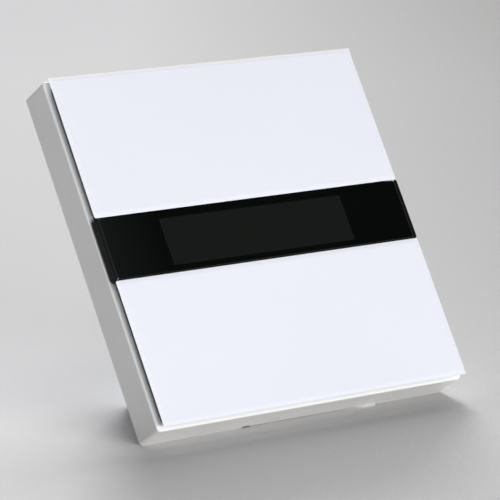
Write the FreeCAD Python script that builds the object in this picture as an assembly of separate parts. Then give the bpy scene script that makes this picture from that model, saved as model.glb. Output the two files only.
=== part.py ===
import FreeCAD, Part
import math
import os

from FreeCAD import Vector

# Smart light switch for a square wall box, as it hangs on the wall.
# X runs to the right, Z up, and Y into the wall. The origin is the middle of the wall plane.
# Depth means the distance in front of the wall, so a point at depth d has Y = -d.
# All sizes are in millimetres.

# Visible face
face_width = 86.0
frame_depth = 8.7
frame_wall = 1.6
frame_corner_r = 0.9
frame_rim_chamfer = 0.25
face_stand = 2.7
face_inset = 0.2
plate_thickness = 0.8
plate_undercut = 0.7
plate_bevel = 1.0
plate_bevel_drop = 0.16
plate_corner_r = 0.5
band_height = 15.2
band_gap = 0.1

# Lower back edge of the frame
notch_x = -14.4
notch_width = 2.0
pry_slot_x = 18.95
pry_slot_width = 8.5
edge_cut_depth = 0.8
edge_relief_depth = 0.2

# Display
lens_thickness = 1.1
lens_bevel = 0.35
lens_end_rim = 0.5
lens_rim_drop = 0.1
holder_flange = 0.75
holder_wall = 1.0
holder_body_gap = 0.4
panel_length = 57.0
panel_height = 12.6
panel_thickness = 1.5
pocket_floor = 0.7
flex_width = 10.0
flex_thickness = 0.2
flex_bend_r = 1.2
flex_run = 16.0
flex_gap = 0.02
flex_end_x = 1.0
flex_connector_length = 5.0
flex_connector_height = 1.7
flex_connector_cheek = 1.0
pilot_skin = 0.5

# Rocker carriers and their hinges
rocker_travel_deg = 1.2
carrier_thickness = 1.2
carrier_wall = 1.2
carrier_inner_step = 0.5
carrier_rib_height = 1.2
carrier_rib_width = 1.0
carrier_rib_x = (-27.0, -9.0, 9.0, 27.0)
first_rib_from_hinge = 5.0
other_ribs_aside = 4.0
skirt_gap = 0.7
skirt_lug_gap = 0.9
hinge_setback = 2.4
hinge_arm_r = 1.8
hinge_arm_width = 1.2
hinge_arm_gap = 0.3
hinge_arm_lift = 0.2
hinge_pin_r = 1.2
hinge_pin_length = 1.9
bearing_post_width = 2.3
bearing_post_height = 3.4
bearing_post_rise = 1.6
bearing_mouth = 2.0
bearing_bore_skin = 0.2
leg_x = 20.0
leg_width = 4.0
leg_thickness = 0.9
leg_gap = 0.2
leg_barb = 0.9
leg_barb_height = 1.2
leg_barb_face = 0.5
leg_bottom_lift = 1.4
leg_window_side = 0.4
leg_window_low = 0.4

# Tact switches and return springs
tact_x = 18.0
tact_reach = 18.9
tact_body_width = 6.0
tact_body_height = 3.0
tact_leg_width = 0.7
tact_leg_reach = 0.9
tact_leg_pitch = 4.5
tact_leg_thickness = 0.2
plunger_r = 1.7
plunger_length = 1.9
plunger_stand = 0.8
plunger_hole_extra = 0.1
pad_half = 1.6
spring_reach = 15.9
spring_r = 2.1
spring_wire_r = 0.2
spring_turns = 3.5
spring_wire_sides = 6
spring_peg_r = 1.5
spring_peg_height = 1.4
spring_hole_r = 3.0

# Front housing and control board
strap_thickness = 1.0
base_thickness = 1.6
base_gap = 1.0
housing_wall = 1.2
housing_wall_rise = 4.6
housing_skirt_gap = 0.6
catch_x = 30.0
catch_width = 8.0
catch_depth = 4.6
catch_height = 1.4
catch_tip = 0.4
catch_play = 0.1
catch_lug_gap = 0.5
hook_reach = 1.5
hook_lead = 0.8
guide_rib_width = 1.2
guide_rib_x = 14.0
board_lift = 0.8
board_thickness = 1.6
board_corner_r = 1.0
board_side_gap = 0.4
board_end_gap = 0.6
board_pad_x = 31.0
board_pad_z = 32.0
board_pad_half = 1.5
clip_z = 24.0
clip_width = 5.0
clip_thickness = 1.0
clip_gap = 0.15
clip_barb = 0.6
clip_barb_height = 1.0
holder_screw_x = 18.0
boss_r = 2.4
screw_r = 1.0
screw_head_r = 1.8
screw_head_height = 1.0
screw_head_gap = 0.2
screw_grip = 2.0
box_screw_pocket_x = 10.0
box_screw_pocket_z = 9.0

# Electronics of the front module
chip_x = 15.0
chip_z = 17.0
chip_width = 7.0
chip_height = 1.2
radio_x = -22.0
radio_z = 17.0
radio_width = 17.0
radio_height = 13.0
radio_board = 0.8
shield_width = 11.0
shield_rise = 1.6
shield_margin = 0.7
memory_chip_x = -22.0
memory_chip_z = -17.0
memory_chip_width = 5.0
driver_chip_x = 14.0
driver_chip_width = 4.0
small_chip_height = 1.0
passive_length = 1.8
passive_width = 1.0
passive_height = 0.6
passive_pitch = 2.3
passive_x = 22.5
passive_z = 12.0
passive_count = 5

# Plug connection between the two modules
connector_z = -12.0
pin_count = 8
pin_pitch = 2.54
pin_width = 0.64
header_width = 2.6
header_height = 2.5
pin_reach = 3.6
socket_width = 3.6
socket_height = 5.2
socket_slot = 1.0
socket_end = 0.5
socket_end_wall = 0.6
socket_floor = 0.5
window_gap = 0.4

# Support plate
strap_width = 71.0
strap_corner_r = 3.0
strap_window_x = 32.0
strap_window_z = 30.0
box_screw_spacing = 60.3
box_slot_r = 2.0
box_slot_length = 8.0
hook_x = 31.5
hook_z = 14.0
hook_width = 7.0
hook_thickness = 1.4
hook_barb = 0.8
hook_length = 1.2
hook_play = 0.1

# Rear module
rear_width = 52.0
rear_depth = 26.2
rear_wall = 1.6
rear_corner_r = 2.0
rear_edge_chamfer = 0.6
rear_room_r = 1.0
rear_boss_inset = 4.0
rear_boss_corners = ((-1, 1), (1, -1))
rear_boss_r = 2.8
lid_drop = 0.2
lid_thickness = 1.6
lid_gap = 0.2
rear_screw_r = 1.25
rear_screw_head_r = 1.9
rear_screw_head_height = 1.3
rear_screw_length = 9.0
rear_screw_play = 1.0
power_board_drop = 4.6
power_board_half_x = 24.0
power_board_half_z = 23.6
ledge_width = 1.5
ledge_length = 8.0

# Terminals
terminal_count = 4
terminal_pitch = 8.5
terminal_width = 8.4
terminal_height = 11.3
terminal_length = 13.0
bay_wall = 1.2
bay_gap = 0.2
wire_hole_r = 1.7
wire_wall = 3.3
wire_axis_drop = 6.4
cage_width = 5.8
cage_height = 5.4
cage_length = 6.2
cage_wall = 0.9
cage_gap = 0.3
cage_tail_width = 2.0
cage_tail_thickness = 0.8
clamp_screw_r = 1.5
clamp_head_r = 2.2
clamp_head_height = 1.7
clamp_well_gap = 0.3
clamp_screw_open = 0.3
driver_slot_width = 0.7
driver_slot_depth = 0.6

# Parts on the power board
relay_x = (-14.0, -2.6)
relay_z = 11.4
relay_width = 10.2
relay_height = 18.4
relay_length = 15.3
relay_chamfer = 0.6
transformer_x = 12.0
transformer_z = 12.0
transformer_width = 14.0
transformer_height = 13.0
transformer_length = 12.0
transformer_core = 5.0
winding_inset = 2.0
winding_r = 2.0
bobbin_foot = 1.0
capacitor_x = 18.0
capacitor_z = -5.0
capacitor_r = 4.0
capacitor_length = 14.0
capacitor_chamfer = 0.5
varistor_x = -18.0
varistor_z = -6.0
varistor_r = 4.5
varistor_thickness = 3.4
varistor_lift = 1.0
varistor_foot_width = 5.0
varistor_foot_thickness = 1.4
varistor_foot_length = 3.0
fuse_x = -3.0
fuse_z = -6.0
fuse_r = 2.0
fuse_length = 12.0
fuse_cap = 2.5
fuse_cap_step = 0.2

# Clearances
running_gap = 0.05
seat_gap = 0.05
part_gap = 0.3

# Places that follow from the sizes above
half_face = face_width / 2
half_opening = half_face - frame_wall
half_plate = half_face - face_inset
face_depth = frame_depth + face_stand
half_band = band_height / 2
rocker_start = half_band + band_gap
base_front = strap_thickness + base_thickness
board_back = base_front + board_lift
board_front = board_back + board_thickness
plate_back = face_depth - plate_thickness
carrier_back = plate_back - carrier_thickness
half_carrier = half_opening - skirt_gap
carrier_start = rocker_start + carrier_inner_step
half_housing = half_carrier - carrier_wall - housing_skirt_gap
half_room = half_housing - housing_wall
half_base = half_opening - base_gap
housing_front = base_front + housing_wall_rise
hinge_z = rocker_start + hinge_setback
hinge_depth = board_front + hinge_arm_lift + hinge_arm_r
post_inner_x = half_room - bearing_post_width
arm_outer_x = post_inner_x - hinge_arm_gap
tact_z = hinge_z + tact_reach
spring_z = hinge_z + spring_reach
first_rib_z = hinge_z + first_rib_from_hinge
carrier_rib_z = (first_rib_z, spring_z - other_ribs_aside, tact_z + other_ribs_aside)
tact_top = board_front + tact_body_height
plunger_top = tact_top + plunger_stand
plunger_stroke = tact_reach * math.radians(rocker_travel_deg)
leg_outer_z = half_room - leg_gap
leg_inner_z = leg_outer_z - leg_thickness
leg_bottom = base_front + leg_bottom_lift
half_board_x = post_inner_x - board_side_gap
half_board_z = leg_inner_z - board_end_gap
skirt_back = catch_depth + catch_height + skirt_lug_gap
lens_back = face_depth - lens_thickness
flange_back = lens_back - holder_flange
half_holder_x = half_room - part_gap
half_holder_z = half_band - holder_body_gap
panel_front = lens_back - seat_gap
panel_back = panel_front - panel_thickness
pocket_back = panel_back - seat_gap
flex_front = panel_back - flex_thickness / 2 - flex_gap
connector_half = pin_count * pin_pitch / 2
socket_half = connector_half + socket_end
half_rear = rear_width / 2
half_rear_room = half_rear - rear_wall
rear_boss_at = half_rear - rear_boss_inset
lid_front = -lid_drop
lid_back = lid_front - lid_thickness
power_front = -power_board_drop
power_back = power_front - board_thickness
bay_half = terminal_count * terminal_pitch / 2 + bay_gap
bay_top = -half_rear + terminal_height + 2 * bay_gap
bay_front = -rear_depth + terminal_length + bay_gap
block_bottom = -half_rear + bay_gap / 2
wire_depth = -rear_depth + wire_axis_drop


def block(x0, x1, z0, z1, d0, d1):
    """Box between two X, two Z and two depths."""
    return Part.makeBox(x1 - x0, d1 - d0, z1 - z0, Vector(x0, -d1, z0))


def post(x, z, r, d0, d1):
    """Round post square to the wall."""
    return Part.makeCylinder(r, d1 - d0, Vector(x, -d0, z), Vector(0, -1, 0))


def rod(x0, x1, z, d, r):
    """Round bar along X."""
    return Part.makeCylinder(r, x1 - x0, Vector(x0, -d, z), Vector(1, 0, 0))


def riser(x, d, r, z0, z1):
    """Round bar along Z."""
    return Part.makeCylinder(r, z1 - z0, Vector(x, -d, z0), Vector(0, 0, 1))


def outline(half_x, z0, z1, r, d):
    """Rectangle with round corners, as a closed wire at one depth."""
    corners = [(half_x - r, z1 - r), (r - half_x, z1 - r), (r - half_x, z0 + r), (half_x - r, z0 + r)]
    arcs = []
    for quarter, (x, z) in enumerate(corners):
        points = []
        for step in range(3):
            angle = math.radians(90 * quarter + 45 * step)
            points.append(Vector(x + r * math.cos(angle), -d, z + r * math.sin(angle)))
        arcs.append(Part.Arc(*points))
    edges = []
    for arc, following in zip(arcs, arcs[1:] + arcs[:1]):
        edges.append(arc.toShape())
        edges.append(Part.LineSegment(arc.EndPoint, following.StartPoint).toShape())
    return Part.Wire(edges)


def slab(half_x, z0, z1, r, d0, d1):
    """Rounded rectangle between two depths."""
    return Part.Face(outline(half_x, z0, z1, r, d0)).extrude(Vector(0, d0 - d1, 0))


def profile_x(points, x0, x1):
    """Closed outline of (z, depth) points, drawn out along X."""
    corners = [Vector(x0, -d, z) for z, d in points]
    return Part.Face(Part.makePolygon(corners + corners[:1])).extrude(Vector(x1 - x0, 0, 0))


def turned(shape, degrees):
    """Copy turned about the middle axis of the switch."""
    copy = shape.copy()
    copy.rotate(Vector(0, 0, 0), Vector(0, 1, 0), degrees)
    return copy


def on_four_sides(shapes):
    return [turned(shape, 90 * side) for side in range(4) for shape in shapes]


def upside_down(shape):
    """Mirror image below the middle of the switch."""
    return shape.mirror(Vector(0, 0, 0), Vector(0, 0, 1))


def across(shape):
    """Mirror image on the other side of the middle."""
    return shape.mirror(Vector(0, 0, 0), Vector(1, 0, 0))


def as_drawn(shape):
    return shape


def joined(first, others):
    return first.fuse(others).removeSplitter()


def at_corners(x, z):
    return [(sx * x, sz * z) for sx in (-1, 1) for sz in (-1, 1)]


def rear_boss_places():
    return [(sx * rear_boss_at, sz * rear_boss_at) for sx, sz in rear_boss_corners]


def screw(x, z, seat, direction, r, length, head_r, head_height):
    """Pan head screw whose head rests at depth seat; direction 1 points it away from the wall."""
    head_end = seat - direction * head_height
    tip = seat + direction * length
    head = post(x, z, head_r, min(seat, head_end), max(seat, head_end))
    shank = post(x, z, r, min(seat, tip), max(seat, tip))
    slot_end = head_end + direction * driver_slot_depth
    low, high = min(head_end, slot_end), max(head_end, slot_end)
    half_slot = driver_slot_width / 2
    slot = block(x - head_r, x + head_r, z - half_slot, z + half_slot, low, high)
    return head.fuse(shank).cut(slot)


def frame():
    """Square frame: straight walls, a broken front rim, catches and ribs inside, cuts for prying it off."""
    shell = slab(half_face, -half_face, half_face, frame_corner_r, 0, frame_depth)
    rim = [edge for edge in shell.Edges if edge.BoundBox.YMax < -frame_depth + 0.01]
    shell = shell.makeChamfer(frame_rim_chamfer, rim)
    opening = slab(half_opening, -half_opening, half_opening, frame_corner_r, -1, frame_depth + 1)
    shell = shell.cut(opening)
    hook_tip = half_opening - hook_reach
    hook_front = catch_depth - catch_play
    hook_back = base_front + hook_play * 2
    root = half_opening + frame_wall / 2
    hook = [
        (root, hook_back),
        (hook_tip, hook_back + hook_lead),
        (hook_tip, hook_front),
        (root, hook_front),
    ]
    rib_tip = half_base + part_gap / 2
    half_rib = guide_rib_width / 2
    inside = []
    for side in (-1, 1):
        middle = side * catch_x
        inside.append(profile_x(hook, middle - catch_width / 2, middle + catch_width / 2))
        rib = side * guide_rib_x
        inside.append(block(rib - half_rib, rib + half_rib, rib_tip, root, 0, hook_back))
    shell = joined(shell, on_four_sides(inside))
    low, high = -half_face - 1, -half_opening + 0.001
    notch = block(notch_x - notch_width / 2, notch_x + notch_width / 2, low, high, -1, edge_cut_depth)
    slot_x0 = pry_slot_x - pry_slot_width / 2
    slot_x1 = pry_slot_x + pry_slot_width / 2
    pry_slot = block(slot_x0, slot_x1, low, high, -1, edge_cut_depth)
    relief = block(notch_x, slot_x0, low, high, -1, edge_relief_depth)
    return shell.cut([notch, pry_slot, relief])


def rocker_plate():
    """Thin plate with a fine bevel in front and undercut edges behind, so that it seems to float."""
    u, b = plate_undercut, plate_bevel
    r = plate_corner_r
    back = outline(half_plate - u, rocker_start + u, half_plate - u, r, plate_back)
    edge = outline(half_plate, rocker_start, half_plate, r, face_depth - plate_bevel_drop)
    front = outline(half_plate - b, rocker_start + b, half_plate - b, r, face_depth)
    return Part.makeLoft([back, edge, front], True, True)


def carrier():
    """Moulding under a rocker plate: skirt, ribs, hinge arms, pads, spring peg and stop legs."""
    plate = block(-half_carrier, half_carrier, carrier_start, half_carrier, carrier_back, plate_back)
    added = []
    inner = half_carrier - carrier_wall
    for side in (-1, 1):
        low, high = sorted((side * inner, side * half_carrier))
        added.append(block(low, high, carrier_start, half_carrier, skirt_back, carrier_back))
    added.append(block(-half_carrier, half_carrier, inner, half_carrier, skirt_back, carrier_back))
    rib_back = carrier_back - carrier_rib_height
    half_rib = carrier_rib_width / 2
    for z in carrier_rib_z:
        added.append(block(-inner, inner, z - half_rib, z + half_rib, rib_back, carrier_back))
    for x in carrier_rib_x:
        added.append(block(x - half_rib, x + half_rib, carrier_start, inner, rib_back, carrier_back))
    for side in (-1, 1):
        added += hinge_arm(side)
        x0, x1 = side * tact_x - pad_half, side * tact_x + pad_half
        pad_back = plunger_top + running_gap
        added.append(block(x0, x1, tact_z - pad_half, tact_z + pad_half, pad_back, carrier_back))
        added.append(stop_leg(side))
    added.append(post(0, spring_z, spring_peg_r, carrier_back - spring_peg_height, carrier_back))
    return joined(plate, added)


def hinge_arm(side):
    """Arm down to the hinge axis, with the trunnion that turns in the bearing post."""
    low, high = sorted((side * (arm_outer_x - hinge_arm_width), side * arm_outer_x))
    arm = block(low, high, hinge_z - hinge_arm_r, hinge_z + hinge_arm_r, hinge_depth, carrier_back)
    tip = rod(low, high, hinge_z, hinge_depth, hinge_arm_r)
    pin_low, pin_high = sorted((side * arm_outer_x, side * (arm_outer_x + hinge_pin_length)))
    pin = rod(pin_low, pin_high, hinge_z, hinge_depth, hinge_pin_r)
    return [arm, tip, pin]


def stop_leg(side):
    """Leg with a barb that holds the rocker at its rest position."""
    barb_tip = leg_outer_z + leg_barb
    barb_front = leg_bottom + leg_barb_height
    points = [
        (leg_inner_z, leg_bottom),
        (leg_outer_z, leg_bottom),
        (barb_tip, barb_front - leg_barb_face),
        (barb_tip, barb_front),
        (leg_outer_z, barb_front),
        (leg_outer_z, carrier_back),
        (leg_inner_z, carrier_back),
    ]
    middle = side * leg_x
    return profile_x(points, middle - leg_width / 2, middle + leg_width / 2)


def tact_body():
    """Tact switch body at the upper right place, with the plunger hole and four soldered legs."""
    half = tact_body_width / 2
    x, z = tact_x, tact_z
    body = block(x - half, x + half, z - half, z + half, board_front, tact_top)
    hole_back = plunger_top - plunger_length - plunger_stroke - plunger_hole_extra
    hole = post(x, z, plunger_r + running_gap, hole_back, tact_top + 1)
    legs = []
    for sx, sz in at_corners(half, tact_leg_pitch / 2):
        low, high = sorted((x + sx, x + sx + math.copysign(tact_leg_reach, sx)))
        z0 = z + sz - tact_leg_width / 2
        foot_front = board_front + tact_leg_thickness
        legs.append(block(low, high, z0, z0 + tact_leg_width, board_front, foot_front))
    return joined(body.cut(hole), legs)


def tact_plunger():
    return post(tact_x, tact_z, plunger_r, plunger_top - plunger_length, plunger_top)


def return_spring():
    """Coil spring between the tray and the upper rocker."""
    start = base_front + spring_wire_r + seat_gap
    height = carrier_back - spring_wire_r - seat_gap - start
    path = Part.makeHelix(height / spring_turns, height, spring_r)
    corners = []
    for step in range(spring_wire_sides):
        angle = 2 * math.pi * step / spring_wire_sides
        across_wire = spring_wire_r * math.cos(angle)
        corners.append(Vector(spring_r + across_wire, 0, spring_wire_r * math.sin(angle)))
    wire = Part.makePolygon(corners + corners[:1])
    coil = Part.Wire(path.Edges).makePipeShell([wire], True, True)
    coil.rotate(Vector(0, 0, 0), Vector(1, 0, 0), 90)
    coil.translate(Vector(0, -start, spring_z))
    return coil


def display_lens():
    """Thick black glass with a small bevel, between the end rims of its holder."""
    half = half_plate - lens_end_rim - seat_gap
    r = plate_corner_r
    b = lens_bevel
    back = outline(half, -half_band, half_band, r, lens_back)
    edge = outline(half, -half_band, half_band, r, face_depth - b)
    front = outline(half - b, b - half_band, half_band - b, r, face_depth)
    return Part.makeLoft([back, edge, front], True, True)


def display_holder():
    """Black tray for the lens and the display, with a hollow foot that stands on the control board."""
    flange = slab(half_plate, -half_band, half_band, plate_corner_r, flange_back, lens_back)
    rim_front = face_depth - lens_rim_drop
    rim_room = slab(half_plate, -half_band, half_band, plate_corner_r, lens_back, rim_front)
    rims = []
    for side in (-1, 1):
        low, high = sorted((side * (half_plate - lens_end_rim), side * half_plate))
        end = block(low, high, -half_band, half_band, lens_back, rim_front)
        rims.append(end.common(rim_room))
    body = block(-half_holder_x, half_holder_x, -half_holder_z, half_holder_z, board_front, flange_back)
    tray = joined(flange, rims + [body])
    room_x = half_holder_x - holder_wall
    room_z = half_holder_z - holder_wall
    room_front = pocket_back - pocket_floor
    room = block(-room_x, room_x, -room_z, room_z, board_front - 1, room_front)
    half_pocket = panel_length / 2 + seat_gap
    pocket_z = panel_height / 2 + seat_gap
    pocket = block(-half_pocket, half_pocket, -pocket_z, pocket_z, pocket_back, lens_back + 1)
    slot_x1 = flex_run / 2 + part_gap
    slot_x0 = -slot_x1 - flex_bend_r
    flex_z = flex_width / 2 + part_gap
    flex_window = block(slot_x0, slot_x1, -flex_z, flex_z, room_front - 1, pocket_back + 1)
    tray = tray.cut([room, pocket, flex_window])
    bosses = []
    pilots = []
    for side in (-1, 1):
        x = side * holder_screw_x
        bosses.append(post(x, 0, boss_r, board_front, room_front))
        pilots.append(post(x, 0, screw_r, board_front - 1, room_front - pilot_skin))
    return joined(tray, bosses).cut(pilots)


def display_panel():
    half = panel_length / 2
    high = panel_height / 2
    return block(-half, half, -high, high, panel_back, panel_front)


def display_flex():
    """Flat cable folded once, from the back of the display down to its connector on the board."""
    start_x = flex_run / 2
    bend_x = -flex_run / 2 + flex_bend_r
    half = flex_thickness / 2
    centre_depth = flex_front - flex_bend_r
    edges = []
    rings = []
    for r in (flex_bend_r + half, flex_bend_r - half):
        top = Vector(bend_x, -(centre_depth + r), -flex_width / 2)
        tip = Vector(bend_x - r, -centre_depth, -flex_width / 2)
        low = Vector(bend_x, -(centre_depth - r), -flex_width / 2)
        rings.append((top, low))
        edges.append(Part.Arc(top, tip, low).toShape())
    ends = []
    for outer, inner, x in ((rings[0][0], rings[1][0], start_x), (rings[0][1], rings[1][1], flex_end_x)):
        ends.append((outer, Vector(x, outer.y, outer.z), Vector(x, inner.y, inner.z), inner))
    for points in ends:
        for a, b in zip(points, points[1:]):
            edges.append(Part.LineSegment(a, b).toShape())
    strip = Part.Face(Part.Wire(Part.__sortEdges__(edges)))
    return strip.extrude(Vector(0, 0, flex_width))


def flex_connector():
    """Low connector with a slot that takes the end of the flat cable."""
    half = flex_width / 2 + flex_connector_cheek
    connector_front = board_front + flex_connector_height
    body = block(0, flex_connector_length, -half, half, board_front, connector_front)
    cable_depth = flex_front - 2 * flex_bend_r
    slot_z = flex_width / 2 + running_gap
    play = flex_thickness / 2 + running_gap
    slot = block(-1, flex_connector_length / 2, -slot_z, slot_z, cable_depth - play, cable_depth + play)
    return body.cut(slot)


def bearing_post(side):
    """Post beside a side wall, with the bearing of the upper rocker, open to the front."""
    low, high = sorted((side * post_inner_x, side * (half_room + housing_wall / 2)))
    half_post = bearing_post_height / 2
    column_front = hinge_depth + bearing_post_rise
    column = block(low, high, hinge_z - half_post, hinge_z + half_post, base_front, column_front)
    far = side * (half_room - bearing_bore_skin)
    low, high = sorted((side * (post_inner_x - 1), far))
    bore = rod(low, high, hinge_z, hinge_depth, hinge_pin_r + running_gap)
    half_mouth = bearing_mouth / 2
    mouth = block(low, high, hinge_z - half_mouth, hinge_z + half_mouth, hinge_depth, column_front + 1)
    return column.cut([bore, mouth])


def front_housing():
    """Tray behind the rockers, with bearing posts, bosses, frame catches and support plate hooks."""
    base = slab(half_base, -half_base, half_base, frame_corner_r, strap_thickness, base_front)
    wall = slab(half_housing, -half_housing, half_housing, frame_corner_r, base_front, housing_front)
    wall = wall.cut(block(-half_room, half_room, -half_room, half_room, 0, housing_front + 1))
    lug_tip = half_opening - catch_lug_gap
    lug_front = catch_depth + catch_height
    root = half_housing - housing_wall / 2
    lug = [
        (root, catch_depth),
        (lug_tip, catch_depth),
        (lug_tip, catch_depth + catch_tip),
        (root, lug_front),
    ]
    lugs = []
    for side in (-1, 1):
        middle = side * catch_x
        lugs.append(profile_x(lug, middle - catch_width / 2, middle + catch_width / 2))
    added = [wall] + on_four_sides(lugs)
    for side in (-1, 1):
        added.append(bearing_post(side))
        added.append(upside_down(bearing_post(side)))
    for x, z in at_corners(board_pad_x, board_pad_z):
        h = board_pad_half
        added.append(block(x - h, x + h, z - h, z + h, base_front, board_back))
    for sx, sz in at_corners(1, clip_z):
        added.append(board_clip(sx, sz))
    for side in (-1, 1):
        added.append(post(side * holder_screw_x, 0, boss_r, base_front, board_back))
        added.append(post(0, side * spring_z, spring_peg_r, base_front, base_front + spring_peg_height))
    added += plate_hooks()
    tray = joined(base, added)
    return tray.cut(front_housing_cuts())


def board_clip(side, z):
    """Springy clip beside the control board, with a barb that holds its edge down."""
    inner = half_board_x + clip_gap
    x0, x1 = sorted((side * inner, side * (inner + clip_thickness)))
    z0, z1 = z - clip_width / 2, z + clip_width / 2
    barb_back = board_front + seat_gap
    barb_front = barb_back + clip_barb_height
    leg = block(x0, x1, z0, z1, base_front, barb_front)
    x0, x1 = sorted((side * (inner - clip_barb), side * (inner + clip_thickness)))
    return leg.fuse(block(x0, x1, z0, z1, barb_back, barb_front))


def plate_hooks():
    """Four snap hooks behind the tray that grip the support plate."""
    hooks = []
    for sx, sz in at_corners(1, 1):
        inner = hook_x - hook_thickness / 2
        outer = hook_x + hook_thickness / 2
        z0 = sz * hook_z - hook_width / 2
        x0, x1 = sorted((sx * inner, sx * outer))
        hooks.append(block(x0, x1, z0, z0 + hook_width, -hook_length, strap_thickness))
        x0, x1 = sorted((sx * inner, sx * (outer + hook_barb)))
        hooks.append(block(x0, x1, z0, z0 + hook_width, -hook_length, -hook_play))
    return hooks


def front_housing_cuts():
    """Windows and holes through the tray."""
    cuts = []
    window_front = leg_bottom + leg_barb_height + running_gap
    window_back = base_front + leg_window_low
    half_window = leg_width / 2 + leg_window_side
    for sx, sz in at_corners(leg_x, 1):
        z0, z1 = sorted((sz * (half_room - 0.1), sz * (half_housing + 0.5)))
        cuts.append(block(sx - half_window, sx + half_window, z0, z1, window_back, window_front))
    for x, z in rear_boss_places():
        cuts.append(post(x, z, rear_screw_head_r + part_gap, 0, base_front + 0.001))
    for side in (-1, 1):
        x = side * holder_screw_x
        cuts.append(post(x, 0, screw_r + running_gap, 0, board_back + 1))
        head_seat = strap_thickness + screw_head_height + running_gap
        cuts.append(post(x, 0, screw_head_r + screw_head_gap, 0, head_seat))
        middle = side * box_screw_spacing / 2
        half_x = box_screw_pocket_x / 2
        half_z = box_screw_pocket_z / 2
        cuts.append(block(middle - half_x, middle + half_x, -half_z, half_z, 0, base_front + 0.001))
    half_x = connector_half + window_gap
    half_z = header_width / 2 + window_gap
    cuts.append(block(-half_x, half_x, connector_z - half_z, connector_z + half_z, 0, base_front + 1))
    return cuts


def control_board():
    """Circuit board with holes for the holder screws and the return springs."""
    board = slab(half_board_x, -half_board_z, half_board_z, board_corner_r, board_back, board_front)
    cuts = []
    for side in (-1, 1):
        cuts.append(post(0, side * spring_z, spring_hole_r, board_back - 1, board_front + 1))
        cuts.append(post(side * holder_screw_x, 0, screw_r + running_gap, board_back - 1, board_front + 1))
    return board.cut(cuts)


def chip(x, z, wide, high, base, rise):
    """Flat rectangular piece on a board."""
    return block(x - wide / 2, x + wide / 2, z - high / 2, z + high / 2, base, base + rise)


def radio_module():
    return chip(radio_x, radio_z, radio_width, radio_height, board_front, radio_board)


def radio_shield():
    """Metal can over most of the radio module; the bare end holds the printed antenna."""
    x = radio_x + (radio_width - shield_width) / 2 - shield_margin
    height = radio_height - 2 * shield_margin
    return chip(x, radio_z, shield_width, height, board_front + radio_board, shield_rise)


def microcontroller():
    return chip(chip_x, chip_z, chip_width, chip_width, board_front, chip_height)


def board_components():
    """Small chips and two rows of passives on the control board."""
    width, length = memory_chip_width, driver_chip_width
    seat = board_front
    wide, long = passive_width, passive_length
    parts = [chip(memory_chip_x, memory_chip_z, width, length, seat, small_chip_height)]
    parts.append(chip(driver_chip_x, memory_chip_z, length, width, seat, small_chip_height))
    for step in range(passive_count):
        along = step * passive_pitch
        parts.append(chip(passive_x + along, memory_chip_z, wide, long, seat, passive_height))
        parts.append(chip(passive_x, passive_z + along, long, wide, seat, passive_height))
    return Part.makeCompound(parts)


def header_pin(index):
    x = (index - (pin_count - 1) / 2) * pin_pitch
    half = pin_width / 2
    return block(x - half, x + half, connector_z - half, connector_z + half, -pin_reach, board_back)


def pin_header():
    half_z = header_width / 2
    z0, z1 = connector_z - half_z, connector_z + half_z
    body = block(-connector_half, connector_half, z0, z1, board_back - header_height, board_back)
    return body.cut([header_pin(index) for index in range(pin_count)])


def header_socket():
    half_z = socket_width / 2
    front = power_front + socket_height
    z0, z1 = connector_z - half_z, connector_z + half_z
    body = block(-socket_half, socket_half, z0, z1, power_front, front)
    half_slot = socket_slot / 2
    slot_x = socket_half - socket_end_wall
    z0, z1 = connector_z - half_slot, connector_z + half_slot
    return body.cut(block(-slot_x, slot_x, z0, z1, power_front + socket_floor, front + 1))


def box_slot(side):
    """Screw slot of the support plate, for levelling the switch on its box."""
    middle = side * box_screw_spacing / 2
    reach = box_slot_length / 2 - box_slot_r
    bar = block(middle - reach, middle + reach, -box_slot_r, box_slot_r, -1, strap_thickness + 1)
    ends = [post(middle + end * reach, 0, box_slot_r, -1, strap_thickness + 1) for end in (-1, 1)]
    return bar.fuse(ends)


def support_plate():
    """Steel plate that is screwed to the wall box and carries both modules."""
    half = strap_width / 2
    plate = slab(half, -half, half, strap_corner_r, 0, strap_thickness)
    half_window = strap_window_z / 2
    window = slab(strap_window_x / 2, -half_window, half_window, rear_corner_r, -1, strap_thickness + 1)
    cuts = [window, box_slot(-1), box_slot(1)]
    for x, z in rear_boss_places():
        cuts.append(post(x, z, rear_screw_r + running_gap, -1, strap_thickness + 1))
    for sx, sz in at_corners(1, 1):
        inner = hook_x - hook_thickness / 2 - hook_play
        outer = hook_x + hook_thickness / 2 + hook_play
        x0, x1 = sorted((sx * inner, sx * outer))
        half_hook = hook_width / 2 + hook_play
        z = sz * hook_z
        cuts.append(block(x0, x1, z - half_hook, z + half_hook, -1, strap_thickness + 1))
    return plate.cut(cuts)


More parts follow.
